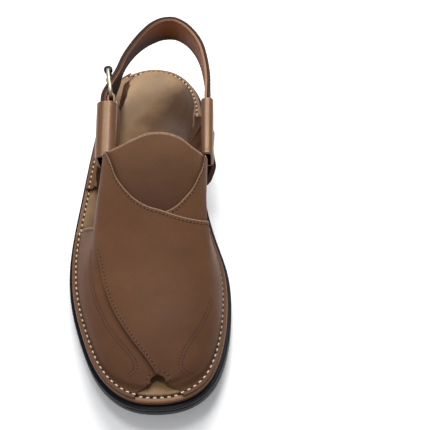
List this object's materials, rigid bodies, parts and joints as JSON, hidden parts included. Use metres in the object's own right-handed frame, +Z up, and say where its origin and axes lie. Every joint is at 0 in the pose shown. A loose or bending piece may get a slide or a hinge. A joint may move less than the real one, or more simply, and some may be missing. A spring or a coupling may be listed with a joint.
{
  "type": "peshawari chappal",
  "caption": "Right leather sandal: crossed closed vamp with tongue, open sides, strap round the heel with a buckle, stitched runner on a rubber sole.",
  "frame": {"origin": "on the floor, in the middle of the outsole's outline", "axes": "+Z up; +Y to the toe; +X to the wearer's right, the outer side with the buckle"},
  "size_m": [0.1124, 0.2912, 0.0975],
  "materials": {
    "sole_rubber": "satin black with a faint blue cast",
    "runner_leather": "waxed brown edge",
    "lining_leather": "smooth tan, matt",
    "upper_leather": "smooth mid-brown with a soft satin sheen",
    "strap_leather": "smooth brown, reddish tan edges",
    "buckle_metal": "polished pale brass"
  },
  "bodies": {
    "root": {"outsole": "sole_rubber", "midsole": "runner_leather", "insole": "lining_leather", "upper": "upper_leather", "quarter_lateral": "upper_leather", "quarter_medial": "upper_leather", "heel_strap": "strap_leather", "buckle_tab": "strap_leather", "buckle_frame": "buckle_metal", "buckle_prong": "buckle_metal"}
  },
  "joints": []
}
